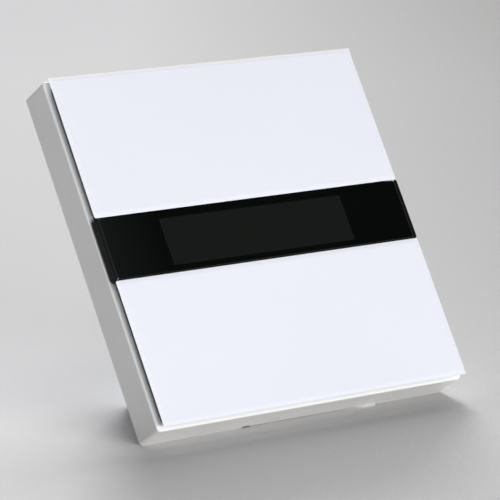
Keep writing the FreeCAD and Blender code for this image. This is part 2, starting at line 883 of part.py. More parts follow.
def rear_housing():
    """Box that reaches into the wall: walls, screw bosses, board ledges and an open terminal bay."""
    box = slab(half_rear, -half_rear, half_rear, rear_corner_r, -rear_depth, 0)
    back = [edge for edge in box.Edges if edge.BoundBox.YMin > rear_depth - 0.01]
    box = box.makeChamfer(rear_edge_chamfer, back)
    floor = -rear_depth + rear_wall
    room = slab(half_rear_room, -half_rear_room, half_rear_room, rear_room_r, floor, 1)
    box = box.cut(room)
    inner = half_rear - 0.1
    inside = slab(inner, -inner, inner, rear_corner_r, floor - 0.1, power_back)
    added = []
    for x, z in rear_boss_places():
        added.append(post(x, z, rear_boss_r, floor, lid_back))
    for side in (-1, 1):
        x0, x1 = sorted((side * (half_rear_room - ledge_width), side * half_rear_room))
        added.append(block(x0, x1, -ledge_length / 2, ledge_length / 2, floor, power_back))
    half_bay = bay_half + bay_wall
    bay_end = bay_front + bay_wall
    bay = block(-half_bay, half_bay, -half_rear, bay_top + bay_wall, floor - 0.1, bay_end)
    added.append(bay.common(inside))
    box = joined(box, added)
    cuts = [block(-bay_half, bay_half, -half_rear - 1, bay_top, -rear_depth - 1, bay_front)]
    for x, z in rear_boss_places():
        cuts.append(post(x, z, rear_screw_r, lid_back - rear_screw_length, lid_back + 1))
    half_tail = cage_tail_thickness / 2 + running_gap
    half_width = cage_tail_width / 2 + running_gap
    for x in terminal_places():
        tail_z = cage_middle_z()
        z0, z1 = tail_z - half_width, tail_z + half_width
        cuts.append(block(x - half_tail, x + half_tail, z0, z1, bay_front - 1, bay_end + 1))
    return box.cut(cuts)


def rear_housing_lid():
    """Cover inside the mouth of the rear housing, with the connector window."""
    half = half_rear_room - lid_gap
    lid = slab(half, -half, half, rear_room_r, lid_back, lid_front)
    half_x = socket_half + window_gap
    half_z = socket_width / 2 + window_gap
    z0, z1 = connector_z - half_z, connector_z + half_z
    cuts = [block(-half_x, half_x, z0, z1, lid_back - 1, lid_front + 1)]
    for x, z in rear_boss_places():
        cuts.append(post(x, z, rear_screw_r + running_gap, lid_back - 1, lid_front + 1))
    return lid.cut(cuts)


def power_board():
    """Mains board, notched round the screw bosses."""
    x, z = power_board_half_x, power_board_half_z
    board = block(-x, x, -z, z, power_back, power_front)
    notches = []
    reach = rear_boss_r + part_gap
    for cx, cz in rear_boss_places():
        notches.append(post(cx, cz, reach, power_back - 1, power_front + 1))
        x0, x1 = sorted((cx, cx + math.copysign(reach, cx)))
        z0, z1 = sorted((cz, cz + math.copysign(reach, cz)))
        notches.append(block(x0, x1, z0, z1, power_back - 1, power_front + 1))
    return board.cut(notches)


def terminal_places():
    return [(index - (terminal_count - 1) / 2) * terminal_pitch for index in range(terminal_count)]


def cage_middle_z():
    return block_bottom + wire_wall + cage_gap + cage_height / 2


def terminal_module(x):
    """Insulating block of one terminal: wire hole below, cage room inside, screw well behind."""
    half = terminal_width / 2
    back = -rear_depth
    front = back + terminal_length
    top = block_bottom + terminal_height
    body = block(x - half, x + half, block_bottom, top, back, front)
    room_x = cage_width / 2 + cage_gap
    room_z0 = block_bottom + wire_wall
    room_z1 = room_z0 + cage_height + 2 * cage_gap
    room_d0 = wire_depth - cage_length / 2 - cage_gap
    room_d1 = wire_depth + cage_length / 2 + cage_gap
    room = block(x - room_x, x + room_x, room_z0, room_z1, room_d0, room_d1)
    wire_hole = riser(x, wire_depth, wire_hole_r, block_bottom - 1, room_z0 + 0.5)
    well = post(x, cage_middle_z(), clamp_head_r + clamp_well_gap, back - 1, room_d0 + 0.1)
    half_tail = cage_tail_thickness / 2 + running_gap
    half_width = cage_tail_width / 2 + running_gap
    z = cage_middle_z()
    z0, z1 = z - half_width, z + half_width
    tail_slot = block(x - half_tail, x + half_tail, z0, z1, room_d1 - 0.1, front + 1)
    return body.cut([room, wire_hole, well, tail_slot])


def terminal_cage(x):
    """Square clamp cage with a tail that runs to the power board."""
    z = cage_middle_z()
    half = cage_width / 2
    half_z = cage_height / 2
    d0 = wire_depth - cage_length / 2
    d1 = wire_depth + cage_length / 2
    tube = block(x - half, x + half, z - half_z, z + half_z, d0, d1)
    w = cage_wall
    tube = tube.cut(block(x - half + w, x + half - w, z - half_z - 1, z + half_z + 1, d0 + w, d1 - w))
    tube = tube.cut(post(x, z, clamp_screw_r + running_gap, d0 - 1, d0 + w + 0.1))
    half_tail = cage_tail_thickness / 2
    half_width = cage_tail_width / 2
    tail = block(x - half_tail, x + half_tail, z - half_width, z + half_width, d1 - 0.1, power_back)
    return joined(tube, [tail])


def terminal_screw(x):
    """Clamp screw, opened far enough for the wire."""
    seat = wire_depth - cage_length / 2 - clamp_screw_open - cage_gap
    tip = wire_depth - wire_hole_r - clamp_screw_open
    length = tip - seat
    return screw(x, cage_middle_z(), seat, 1, clamp_screw_r, length, clamp_head_r, clamp_head_height)


def relay(x):
    half_x, half_z = relay_width / 2, relay_height / 2
    back = power_back - relay_length
    case = block(x - half_x, x + half_x, relay_z - half_z, relay_z + half_z, back, power_back)
    upright = [edge for edge in case.Edges if abs(edge.tangentAt(edge.FirstParameter).y) > 0.9]
    return case.makeChamfer(relay_chamfer, upright)


def transformer():
    """Ferrite core round a wound bobbin."""
    x, z = transformer_x, transformer_z
    half_x, half_z = transformer_width / 2, transformer_height / 2
    back = power_back - transformer_length
    half_core = transformer_core / 2
    core = block(x - half_x, x + half_x, z - half_core, z + half_core, back, power_back)
    half_winding = half_x - winding_inset
    d0, d1 = back + winding_inset, power_back - winding_inset
    winding = block(x - half_winding, x + half_winding, z - half_z, z + half_z, d0, d1)
    soft = [edge for edge in winding.Edges if abs(edge.tangentAt(edge.FirstParameter).x) > 0.9]
    winding = winding.makeFillet(winding_r, soft)
    half_foot = half_x - bobbin_foot
    foot_back = power_back - bobbin_foot
    foot = block(x - half_foot, x + half_foot, z - half_z, z + half_z, foot_back, power_back)
    return joined(core, [winding, foot])


def storage_capacitor():
    can = post(capacitor_x, capacitor_z, capacitor_r, power_back - capacitor_length, power_back)
    outer = [edge for edge in can.Edges if edge.BoundBox.YMin > -power_back + capacitor_length - 0.01]
    return can.makeChamfer(capacitor_chamfer, outer)


def varistor():
    """Disc standing on the board."""
    x, z = varistor_x, varistor_z
    depth = power_back - varistor_r - varistor_lift
    half = varistor_thickness / 2
    disc = riser(x, depth, varistor_r, z - half, z + half)
    half_foot = varistor_foot_width / 2
    half_z = varistor_foot_thickness / 2
    foot_back = power_back - varistor_foot_length
    foot = block(x - half_foot, x + half_foot, z - half_z, z + half_z, foot_back, power_back)
    return joined(disc, [foot])


def fuse():
    """Glass tube fuse: a round body between two square end caps that stand on the board."""
    depth = power_back - fuse_r
    x0 = fuse_x - fuse_length / 2
    x1 = fuse_x + fuse_length / 2
    body = rod(x0, x1, fuse_z, depth, fuse_r - fuse_cap_step)
    caps = []
    for start in (x0, x1 - fuse_cap):
        z0, z1 = fuse_z - fuse_r, fuse_z + fuse_r
        caps.append(block(start, start + fuse_cap, z0, z1, power_back - 2 * fuse_r, power_back))
    return joined(body, caps)


def holder_screws():
    screws = []
    seat = strap_thickness + screw_head_height + running_gap
    length = board_front + screw_grip - seat
    for side in (-1, 1):
        x = side * holder_screw_x
        screws.append(screw(x, 0, seat, 1, screw_r, length, screw_head_r, screw_head_height))
    return Part.makeCompound(screws)


def support_plate_screws():
    screws = []
    length = strap_thickness - lid_back + rear_screw_length - rear_screw_play
    for x, z in rear_boss_places():
        screws.append(screw(x, z, strap_thickness, -1, rear_screw_r, length,
                            rear_screw_head_r, rear_screw_head_height))
    return Part.makeCompound(screws)


def save(name, shape):
    """One STEP file for each piece."""
    shape.exportStep(os.path.join("parts", name + ".step"))


def save_front():
    """The pieces in front of the wall; lower and left ones are mirror images of upper and right ones."""
    save("frame", frame())
    for name, place in (("upper", as_drawn), ("lower", upside_down)):
        save(name + "_rocker_plate", place(rocker_plate()))
        save(name + "_rocker_carrier", place(carrier()))
        save(name + "_return_spring", place(return_spring()))
        for hand, side in (("right", as_drawn), ("left", across)):
            save(name + "_" + hand + "_tact_switch", place(side(tact_body())))
            save(name + "_" + hand + "_tact_plunger", place(side(tact_plunger())))
    save("display_lens", display_lens())
    save("display_panel", display_panel())
    save("display_holder", display_holder())
    save("display_flex", display_flex())
    save("display_flex_connector", flex_connector())
    save("front_housing", front_housing())
    save("control_board", control_board())
    save("microcontroller", microcontroller())
    save("radio_module", radio_module())
    save("radio_shield", radio_shield())
    save("board_components", board_components())
    save("pin_header", pin_header())
    save("header_pins", Part.makeCompound([header_pin(index) for index in range(pin_count)]))
    save("holder_screws", holder_screws())


def save_rear():
    save("support_plate", support_plate())
    save("support_plate_screws", support_plate_screws())
    save("rear_housing", rear_housing())
    save("rear_housing_lid", rear_housing_lid())
    save("power_board", power_board())
    save("header_socket", header_socket())
    save("left_relay", relay(relay_x[0]))
    save("right_relay", relay(relay_x[1]))
    save("transformer", transformer())
    save("storage_capacitor", storage_capacitor())
    save("varistor", varistor())
    save("fuse", fuse())
    places = terminal_places()
    save("terminal_block", Part.makeCompound([terminal_module(x) for x in places]))
    save("terminal_cages", Part.makeCompound([terminal_cage(x) for x in places]))
    save("terminal_screws", Part.makeCompound([terminal_screw(x) for x in places]))


os.makedirs("parts", exist_ok=True)
save_front()
save_rear()
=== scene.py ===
import math

import bpy
from mathutils import Matrix, Vector

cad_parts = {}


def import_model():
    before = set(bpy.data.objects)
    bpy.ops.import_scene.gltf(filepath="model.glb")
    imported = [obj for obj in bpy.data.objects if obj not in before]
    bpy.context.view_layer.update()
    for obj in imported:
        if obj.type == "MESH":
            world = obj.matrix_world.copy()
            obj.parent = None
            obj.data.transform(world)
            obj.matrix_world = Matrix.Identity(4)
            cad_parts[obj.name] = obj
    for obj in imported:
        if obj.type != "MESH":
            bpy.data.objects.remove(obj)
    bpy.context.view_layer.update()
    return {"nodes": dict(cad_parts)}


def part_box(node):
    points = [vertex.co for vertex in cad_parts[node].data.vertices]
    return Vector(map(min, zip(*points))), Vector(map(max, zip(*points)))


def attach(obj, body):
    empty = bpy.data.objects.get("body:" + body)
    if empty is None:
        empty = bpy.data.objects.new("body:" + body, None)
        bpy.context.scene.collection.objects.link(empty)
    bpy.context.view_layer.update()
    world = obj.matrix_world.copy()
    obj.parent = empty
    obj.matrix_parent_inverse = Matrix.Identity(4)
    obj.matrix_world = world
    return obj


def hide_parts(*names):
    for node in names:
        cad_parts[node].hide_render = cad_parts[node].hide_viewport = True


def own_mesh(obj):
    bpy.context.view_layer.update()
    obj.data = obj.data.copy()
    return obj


# A smart light switch with two white rocker plates and a black glass band, leaning back on a pale floor.
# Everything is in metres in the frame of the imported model: X right, Z up the plate, -Y towards the room.

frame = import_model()
nodes = frame["nodes"]

MM = 0.001

# How the switch stands for its picture: it leans back, on the lower back edges of its frame and rear box.
LEAN_DEG = 32.9
ROOM_UP = Vector((0.0, -math.sin(math.radians(LEAN_DEG)), math.cos(math.radians(LEAN_DEG))))
ROOM_FRONT = Vector((0.0, -math.cos(math.radians(LEAN_DEG)), -math.sin(math.radians(LEAN_DEG))))
ROOM_RIGHT = Vector((1.0, 0.0, 0.0))

# The camera of the photograph, found from the corners of the face.
CAMERA_PLACE = Vector((-0.4257, -0.5864, -0.2022))
CAMERA_AIM = Vector((0.0034, 0.0001, -0.00095))
LENS_MM = 231.9
SENSOR_MM = 36.0
CLIP_START = 0.01
CLIP_END = 50.0

# Light of the surroundings behind and in front of the switch, and how dim their right side is.
# Each fade runs between two values of the cosine to its direction.
BACK_GLOW = 0.145
FRONT_GLOW = 0.195
FRONT_FADE = (-0.2, 0.4)
DARK_SIDE = 0.015
DARK_FADE = (0.475, 0.535)
GLOW_TINT = (1.0, 0.985, 0.97, 1.0)
BOX_TINT = (1.0, 0.985, 0.955)

# Suns: name, angle in degrees, strength, and direction to the right, front and up
SUNS = (
    ("back_daylight", 16.0, 1.95, (0.75, -1.50, 1.0)),
    ("side_daylight", 40.0, 1.28, (1.20, -1.20, 1.0)),
    ("high_daylight", 20.0, 0.36, (0.25, -0.90, 1.0)),
)

# Soft boxes: name, width, height, watts, and place to the right, front and up
BOXES = (
    ("front_box", 0.78, 0.20, 7.0, (-0.05, 0.87, 0.10)),
    ("top_box", 0.50, 0.50, 1.1, (0.0, 0.25, 0.90)),
)

# Floor: its size, the stretch over which its painted light falloff dims it to the right, and how much the painted
# light lifts it behind the switch
FLOOR_REACH = 4.0
FLOOR_FADE_HALF = 0.12
FLOOR_LIFT_DEPTH = 0.5
FLOOR_LIFT = 1.15
FLOOR_GRAIN_SHARE = 0.12

# Rocker plates: the inner part of the face, outside which a painted highlight makes a slightly whiter edge at the
# right and along the top, and where the painted seam shade on the cut sides begins
PLATE_HIGHLIGHT_INNER_HALF = 43.6 * MM
PLATE_HIGHLIGHT_INNER_MIDDLE = -1.4 * MM
PLATE_SEAM_SHADE_EDGE = 42.74 * MM
PLATE_SEAM_SHADE_BLUR = 0.03 * MM

# Front rim of the frame, painted whiter as a highlight, and how wide and deep the painted shade in the gaps round
# the plates reaches
RIM_Y = -8.7 * MM
RIM_HALF = 0.12 * MM
GAP_REACH = 2.0 * MM
GAP_DEPTH_HALF = 3.0 * MM
GAP_SAMPLES = 8

# Part of the noise textures' range that their values really cover
NOISE_RANGE = (0.25, 0.75)

# Tracks on the circuit boards, in the texture's own units
TRACK_SCALE = 260.0
TRACK_LENGTH = 4.0
TRACK_PITCH = 0.2
TRACK_GAP = 0.05

# Transformer core, fuse tube and capacitor marks
CORE_HALF = 2.5 * MM
FUSE_TUBE_HALF = 3.5 * MM
CAN_STRIPE_HALF = 1.2 * MM
CAN_TOP_HALF = 2.6 * MM
CAN_TOP_DEPTH = 0.4 * MM

# Return springs
SPRING_WIRE = 0.4 * MM
SPRING_FREE_TURNS = 3.5
SPRING_END_TURNS = 1.0
SPRING_STEPS = 32
SPRING_SIDES = 10

# Display behind the glass band, the painted highlight of a fine light line inside the right end of the glass, and
# the painted reflection that makes the left end paler
LENS_LINE_X = 41.95 * MM
LENS_LINE_HALF = 0.17 * MM
LENS_FADE_START = -42.8 * MM
LENS_FADE_END = -27.0 * MM
DISPLAY_MIDDLE_X = -0.8 * MM
DISPLAY_MIDDLE_Z = -0.2 * MM
DISPLAY_HALF_X = 25.6 * MM
DISPLAY_HALF_Z = 5.75 * MM

LEVELS = ("upper", "lower")

# Sockets of the Mix node for numbers and for colours
MIX_NUMBERS = (2, 3)
MIX_NUMBER_OUT = 0
MIX_COLOURS = (6, 7)
MIX_COLOUR_OUT = 2

BLACK = (0.0, 0.0, 0.0, 1.0)
WHITE = (1.0, 1.0, 1.0, 1.0)


def srgb(red, green, blue):
    """Linear colour of an 8 bit screen colour, with alpha."""
    linear = []
    for value in (red, green, blue):
        v = value / 255.0
        linear.append(v / 12.92 if v <= 0.04045 else ((v + 0.055) / 1.055) ** 2.4)
    return (*linear, 1.0)


def shade(colour, factor):
    """The colour, lighter or darker by a factor."""
    return (*(min(1.0, c * factor) for c in colour[:3]), 1.0)


class Nodes:
    """A short way to write a material's node tree."""

    def __init__(self, name):
        self.material = bpy.data.materials.new(name)
        self.material.use_nodes = True
        self.tree = self.material.node_tree
        self.shader = self.tree.nodes["Principled BSDF"]
        self.output = self.tree.nodes["Material Output"]
        self.place = self.new("ShaderNodeTexCoord").outputs["Object"]

    def new(self, kind, **inputs):
        node = self.tree.nodes.new(kind)
        self.fill(node, inputs)
        return node

    def fill(self, node, inputs):
        """Link or set inputs, given by name with _ for a space, or by number."""
        for name, value in inputs.items():
            socket = node.inputs[name if isinstance(name, int) else name.replace("_", " ")]
            if isinstance(value, bpy.types.NodeSocket):
                self.tree.links.new(value, socket)
            else:
                socket.default_value = value

    def set(self, **inputs):
        self.fill(self.shader, inputs)

    def math(self, operation, *values):
        node = self.new("ShaderNodeMath")
        node.operation = operation
        self.fill(node, dict(enumerate(values)))
        return node.outputs[0]

    def product(self, first, second):
        return self.math("MULTIPLY", first, second)

    def along(self, direction):
        """Place along a direction from the origin."""
        node = self.new("ShaderNodeVectorMath")
        node.operation = "DOT_PRODUCT"
        self.fill(node, {0: self.place, 1: direction})
        return node.outputs["Value"]

    def axes(self):
        """Place along X, Y and Z, by name."""
        return self.new("ShaderNodeSeparateXYZ", Vector=self.place).outputs

    def noise(self, scale, detail=2.0, stretch=(1.0, 1.0, 1.0)):
        """Noise in object space; scale is in features per metre."""
        mapping = self.new("ShaderNodeMapping", Vector=self.place, Scale=stretch)
        return self.new("ShaderNodeTexNoise", Vector=mapping.outputs[0], Scale=scale, Detail=detail).outputs["Fac"]

    def ramp(self, factor, low, high, start=0.3, end=0.7):
        """Blend of two colours over a stretch of the factor."""
        node = self.new("ShaderNodeValToRGB", Fac=factor)
        first, last = node.color_ramp.elements
        first.position, first.color = start, low
        last.position, last.color = end, high
        return node.outputs["Color"]

    def carry(self, value, start, end, low=0.0, high=1.0):
        """The value, carried over from the range start to end to the range low to high."""
        node = self.new("ShaderNodeMapRange", Value=value, From_Min=start, From_Max=end, To_Min=low, To_Max=high)
        return node.outputs["Result"]

    def span(self, noise, low, high):
        """Noise, carried over to the range from low to high."""
        return self.carry(noise, *NOISE_RANGE, low, high)

    def blend(self, factor, first, second, kind="MIX"):
        """Two colours mixed by a factor."""
        node = self.new("ShaderNodeMix", Factor=factor)
        node.data_type = "RGBA"
        node.blend_type = kind
        self.fill(node, dict(zip(MIX_COLOURS, (first, second))))
        return node.outputs[MIX_COLOUR_OUT]

    def painted_gap_shade(self, colour, depth):
        """The colour with painted shade in the gaps round the plates, darker where ambient occlusion finds them;
        depth is how much darker.
        """
        near = self.new("ShaderNodeAmbientOcclusion", Distance=GAP_REACH)
        near.samples = GAP_SAMPLES
        level = self.edge(self.axes()["Y"], GAP_DEPTH_HALF, RIM_Y)
        shaded = self.blend(1.0, colour, near.outputs["Color"], "MULTIPLY")
        return self.blend(self.product(level, depth), colour, shaded)

    def edge(self, along, half, middle=0.0, blur=0.1 * MM):
        """One inside half to either side of the middle, and zero outside."""
        away = self.math("ABSOLUTE", self.math("SUBTRACT", along, middle))
        return self.carry(away, half + blur, half - blur)

    def bump(self, height, distance, strength=1.0):
        """Relief from a height map; distance is its depth in metres."""
        node = self.new("ShaderNodeBump", Height=height, Distance=distance, Strength=strength)
        self.set(Normal=node.outputs["Normal"])


def moulded(name, colour, rough, grain=3600.0, relief=0.004 * MM, coat=0.0, gloss=0.5, painted_gap_shade=0.0, rim_highlight=None):
    """Injection moulded plastic: spark eroded grain, faint flow marks and uneven gloss, with an optional painted
    highlight on the front rim and optional painted shade in the gaps round the plates.
    """
    n = Nodes(name)
    flow = n.noise(scale=45.0, detail=3.0)
    body = n.ramp(flow, shade(colour, 0.97), shade(colour, 1.03))
    # Painted highlight: the band of the front rim is blended to a whiter colour than the walls.
    if rim_highlight:
        body = n.blend(n.edge(n.axes()["Y"], RIM_HALF, RIM_Y), body, rim_highlight)
    # Painted shade: ambient occlusion darkens the colour in the gaps round the plates.
    if painted_gap_shade:
        body = n.painted_gap_shade(body, painted_gap_shade)
    n.set(Base_Color=body)
    n.set(Roughness=n.span(n.noise(scale=260.0), rough - 0.04, rough + 0.04))
    n.set(Coat_Weight=coat, Coat_Roughness=0.1, Specular_IOR_Level=gloss)
    n.bump(n.noise(scale=grain, detail=3.0), relief)
    return n.material


def metal(name, colour, rough, lengthening=30.0):
    """Plated or rolled metal with fine lines from its making."""
    n = Nodes(name)
    lines = n.noise(scale=220.0, detail=4.0, stretch=(1.0, 1.0, lengthening))
    n.set(Base_Color=n.ramp(lines, shade(colour, 0.9), shade(colour, 1.06)))
    n.set(Metallic=1.0, Roughness=n.span(lines, rough - 0.08, rough + 0.1))
    n.bump(lines, 0.003 * MM)
    return n.material


def plate_white():
    """White plate with a clear glossy face: an even colour with a faint orange peel, a painted highlight that makes
    the right and top edges whiter, and cut sides painted grey as the shade along the seam.
    """
    n = Nodes("plate_white")
    colour = srgb(235, 239, 250)
    axes = n.axes()
    no_highlight = n.product(*[n.edge(axes[axis], PLATE_HIGHLIGHT_INNER_HALF, PLATE_HIGHLIGHT_INNER_MIDDLE) for axis in "XZ"])
    face = n.product(*[n.edge(axes[axis], PLATE_SEAM_SHADE_EDGE, blur=PLATE_SEAM_SHADE_BLUR) for axis in "XZ"])
    body = n.ramp(n.noise(scale=18.0, detail=1.0), shade(colour, 0.985), colour)
    # Painted highlight: outside the inner part, along the right and top edges, the face is painted whiter.
    body = n.blend(no_highlight, srgb(242, 244, 249), body)
    # Painted shade: outside the face, the cut sides are painted grey as the shade along the seam.
    n.set(Base_Color=n.blend(face, srgb(204, 205, 208), body))
    n.set(Roughness=n.span(n.noise(scale=120.0), 0.10, 0.16))
    n.set(Specular_IOR_Level=0.4, Coat_Weight=0.3, Coat_Roughness=0.03)
    n.bump(n.noise(scale=90.0, detail=1.0), 0.002 * MM)
    return n.material


def smoked_glass():
    """Black printed glass, in which the display shows as a slightly paler window, with a painted reflection that
    makes its left end paler and a painted highlight as a fine line inside its right end.
    """
    n = Nodes("lens_black_glass")
    axes = n.axes()
    across = n.edge(axes["X"], DISPLAY_HALF_X, DISPLAY_MIDDLE_X)
    up = n.edge(axes["Z"], DISPLAY_HALF_Z, DISPLAY_MIDDLE_Z)
    # Painted reflection: the black of the glass is paler towards its left end.
    painted_reflection_fade = n.carry(axes["X"], LENS_FADE_START, LENS_FADE_END)
    surround = n.blend(painted_reflection_fade, srgb(19, 22, 21), srgb(8, 10, 9))
    glass = n.blend(n.product(across, up), surround, srgb(24, 26, 25))
    # Painted highlight: a fine light line inside the right end of the glass.
    painted_glint = n.edge(axes["X"], LENS_LINE_HALF, LENS_LINE_X)
    n.set(Base_Color=n.blend(painted_glint, glass, srgb(58, 58, 58)))
    n.set(Roughness=n.span(n.noise(scale=200.0), 0.01, 0.04), Specular_IOR_Level=0.3)
    return n.material


def circuit_board(name):
    """Solder mask over copper: bundles of fine tracks that run along or up the board, and broad plain pours."""
    n = Nodes(name)
    bundles = []
    for spin in (0.0, 90.0):
        turned = n.new("ShaderNodeMapping", Vector=n.place, Rotation=(math.radians(90.0), math.radians(spin), 0.0))
        lines = n.new("ShaderNodeTexBrick", Vector=turned.outputs[0], Scale=TRACK_SCALE, Brick_Width=TRACK_LENGTH)
        n.fill(lines, {"Row Height": TRACK_PITCH, "Mortar Size": TRACK_GAP})
        bundles.append(lines.outputs["Fac"])
    patches = n.ramp(n.noise(scale=70.0, detail=0.0), BLACK, WHITE, 0.49, 0.51)
    pours = n.ramp(n.noise(scale=95.0, detail=1.0), BLACK, WHITE, 0.52, 0.54)
    either = n.new("ShaderNodeMix", Factor=patches)
    n.fill(either, dict(zip(MIX_NUMBERS, bundles)))
    tracks = n.product(either.outputs[MIX_NUMBER_OUT], pours)
    n.set(Base_Color=n.blend(tracks, srgb(16, 92, 56), srgb(34, 128, 78)))
    n.set(Roughness=n.span(n.noise(scale=300.0), 0.28, 0.4))
    n.bump(tracks, 0.03 * MM, 0.4)
    return n.material


def spotted(name, colour, second, scale, rough):
    """Coated or wound parts with two tones."""
    n = Nodes(name)
    n.set(Base_Color=n.ramp(n.noise(scale, detail=3.0), colour, second))
    n.set(Roughness=n.span(n.noise(scale * 2.0), rough - 0.05, rough + 0.05))
    n.bump(n.noise(scale * 3.0), 0.01 * MM)
    return n.material


def banded(name, node, axis, half, inside, outside, metal_outside=False):
    """Two materials that change along one axis of a node: one inside half of its middle, and one outside it."""
    n = Nodes(name)
    low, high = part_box(node)
    middle = (low + high) / 2
    mask = n.edge(n.axes()[axis], half, middle["XYZ".index(axis)])
    grain = n.noise(scale=420.0, detail=3.0)
    first = n.ramp(grain, shade(inside, 0.86), inside)
    second = n.ramp(grain, shade(outside, 0.9), outside)
    n.set(Base_Color=n.blend(mask, second, first))
    if metal_outside:
        n.set(Metallic=n.ramp(mask, WHITE, BLACK, 0.4, 0.6))
    n.set(Roughness=n.span(grain, 0.29, 0.41))
    n.bump(grain, 0.01 * MM)
    return n.material


def sleeved_can(name, node):
    """Electrolytic capacitor: a dark printed sleeve with a pale stripe, and a bare aluminium top."""
    n = Nodes(name)
    low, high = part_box(node)
    middle = (low + high) / 2
    axes = n.axes()
    grain = n.noise(scale=300.0)
    stripe = n.edge(axes["X"], CAN_STRIPE_HALF, low.x)
    sleeve = n.blend(stripe, n.ramp(grain, srgb(28, 34, 56), srgb(36, 44, 70)), srgb(170, 174, 182))
    across = n.edge(axes["X"], CAN_TOP_HALF, middle.x)
    up = n.edge(axes["Z"], CAN_TOP_HALF, middle.z)
    top = n.edge(axes["Y"], CAN_TOP_DEPTH, high.y)
    bare = n.product(n.product(across, up), top)
    n.set(Base_Color=n.blend(bare, sleeve, srgb(190, 192, 194)), Metallic=bare)
    n.set(Roughness=n.span(grain, 0.24, 0.38))
    n.bump(grain, 0.005 * MM)
    return n.material


def coil_mesh(name, low, high):
    """Round wire coil with closed ends that fills the box from low to high, with its axis along Y."""
    wire_r = SPRING_WIRE / 2
    radius = (high.x - low.x) / 2 - wire_r
    middle = (low + high) / 2
    free = high.y - low.y - SPRING_WIRE - 2 * SPRING_WIRE * SPRING_END_TURNS
    turns = SPRING_FREE_TURNS + 2 * SPRING_END_TURNS
    steps = round(turns * SPRING_STEPS)
    points, faces = [], []
    for step in range(steps + 1):
        turn = turns * step / steps
        closed = min(turn, SPRING_END_TURNS) + max(0.0, turn - turns + SPRING_END_TURNS)
        opened = min(max(turn - SPRING_END_TURNS, 0.0), SPRING_FREE_TURNS)
        height = low.y + wire_r + closed * SPRING_WIRE + opened * free / SPRING_FREE_TURNS
        angle = 2 * math.pi * turn
        for corner in range(SPRING_SIDES):
            around = 2 * math.pi * corner / SPRING_SIDES
            out = radius + wire_r * math.cos(around)
            place = (out * math.cos(angle), wire_r * math.sin(around), out * math.sin(angle))
            points.append(Vector((middle.x, height, middle.z)) + Vector(place))
    for step in range(steps):
        for corner in range(SPRING_SIDES):
            a = step * SPRING_SIDES + corner
            b = step * SPRING_SIDES + (corner + 1) % SPRING_SIDES
            faces.append((a, b, b + SPRING_SIDES, a + SPRING_SIDES))
    last = steps * SPRING_SIDES
    faces.append(tuple(reversed(range(SPRING_SIDES))))
    faces.append(tuple(range(last, last + SPRING_SIDES)))
    mesh = bpy.data.meshes.new(name)
    mesh.from_pydata(points, [], faces)
    mesh.polygons.foreach_set("use_smooth", [len(face) == 4 for face in faces])
    return mesh


def return_spring(level):
    """A finer coil in place of the plain one, in the same steel."""
    node = level + "_return_spring"
    low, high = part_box(node)
    mesh = coil_mesh(level + "_coil", low, high)
    mesh.materials.append(nodes[node].data.materials[0])
    coil = bpy.data.objects.new(level + "_coil", mesh)
    bpy.context.collection.objects.link(coil)
    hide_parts(node)
    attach(coil, "switch_body")
    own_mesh(coil)


def give(material, *names):
    """Put a material on nodes."""
    for name in names:
        slots = nodes[name].data.materials
        slots.clear()
        slots.append(material)


def dress_front():
    # The front rim colour is a painted highlight, whiter than the frame.
    rim_highlight = srgb(247, 248, 250)
    # The frame and the carriers get painted shade in the gaps round the plates.
    give(moulded("frame_white", srgb(225, 225, 225), rough=0.42, gloss=0.3, painted_gap_shade=0.9, rim_highlight=rim_highlight), "frame")
    give(plate_white(), *[level + "_rocker_plate" for level in LEVELS])
    grey = moulded("carrier_grey", srgb(50, 52, 54), rough=0.5, painted_gap_shade=0.5)
    give(grey, *[level + "_rocker_carrier" for level in LEVELS])
    give(smoked_glass(), "display_lens")
    give(spotted("display_dark", srgb(66, 72, 70), srgb(70, 75, 73), scale=300.0, rough=0.4), "display_panel")
    give(moulded("holder_black", srgb(15, 16, 17), rough=0.55, relief=0.008 * MM, gloss=0.1), "display_holder")
    give(moulded("housing_white", srgb(222, 222, 220), rough=0.5, relief=0.012 * MM), "front_housing")


def dress_inside():
    """Materials of the inner parts. The tact switches and the springs keep the frame's own black and steel."""
    give(circuit_board("board_green"), "control_board", "power_board", "radio_module")
    give(moulded("chip_black", srgb(32, 32, 33), rough=0.5, grain=8000.0), "microcontroller")
    small = spotted("small_parts", srgb(34, 34, 36), srgb(158, 130, 96), scale=110.0, rough=0.45)
    give(small, "board_components")
    plungers = [f"{level}_{hand}_tact_plunger" for level in LEVELS for hand in ("left", "right")]
    give(moulded("plunger_white", srgb(225, 222, 212), rough=0.4), *plungers)
    give(metal("shield_tin", srgb(168, 168, 164), rough=0.34), "radio_shield")
    give(spotted("flex_amber", srgb(176, 112, 34), srgb(150, 90, 24), scale=500.0, rough=0.35), "display_flex")
    connectors = ("display_flex_connector", "pin_header", "header_socket")
    give(moulded("connector_black", srgb(36, 36, 38), rough=0.55), *connectors)
    give(metal("pin_brass", srgb(214, 184, 96), rough=0.28), "header_pins", "terminal_cages")
    give(moulded("relay_black", srgb(40, 42, 48), rough=0.32, coat=0.2), "left_relay", "right_relay")
    core = banded("wound_core", "transformer", "Z", CORE_HALF, srgb(66, 66, 68), srgb(196, 160, 62))
    give(core, "transformer")
    give(sleeved_can("sleeved_can", "storage_capacitor"), "storage_capacitor")
    give(spotted("varistor_blue", srgb(40, 92, 168), srgb(52, 104, 178), scale=160.0, rough=0.4), "varistor")
    glass, caps = srgb(214, 208, 192), srgb(196, 194, 188)
    give(banded("capped_tube", "fuse", "X", FUSE_TUBE_HALF, glass, caps, metal_outside=True), "fuse")
    for level in LEVELS:
        return_spring(level)


def dress_back():
    zinc = metal("zinc_steel", srgb(196, 198, 202), rough=0.34, lengthening=24.0)
    give(zinc, "support_plate", "support_plate_screws", "holder_screws", "terminal_screws")
    grey = moulded("rear_housing_grey", srgb(206, 207, 208), rough=0.5, relief=0.014 * MM)
    give(grey, "rear_housing", "rear_housing_lid")
    give(moulded("terminal_green", srgb(88, 146, 112), rough=0.45), "terminal_block")


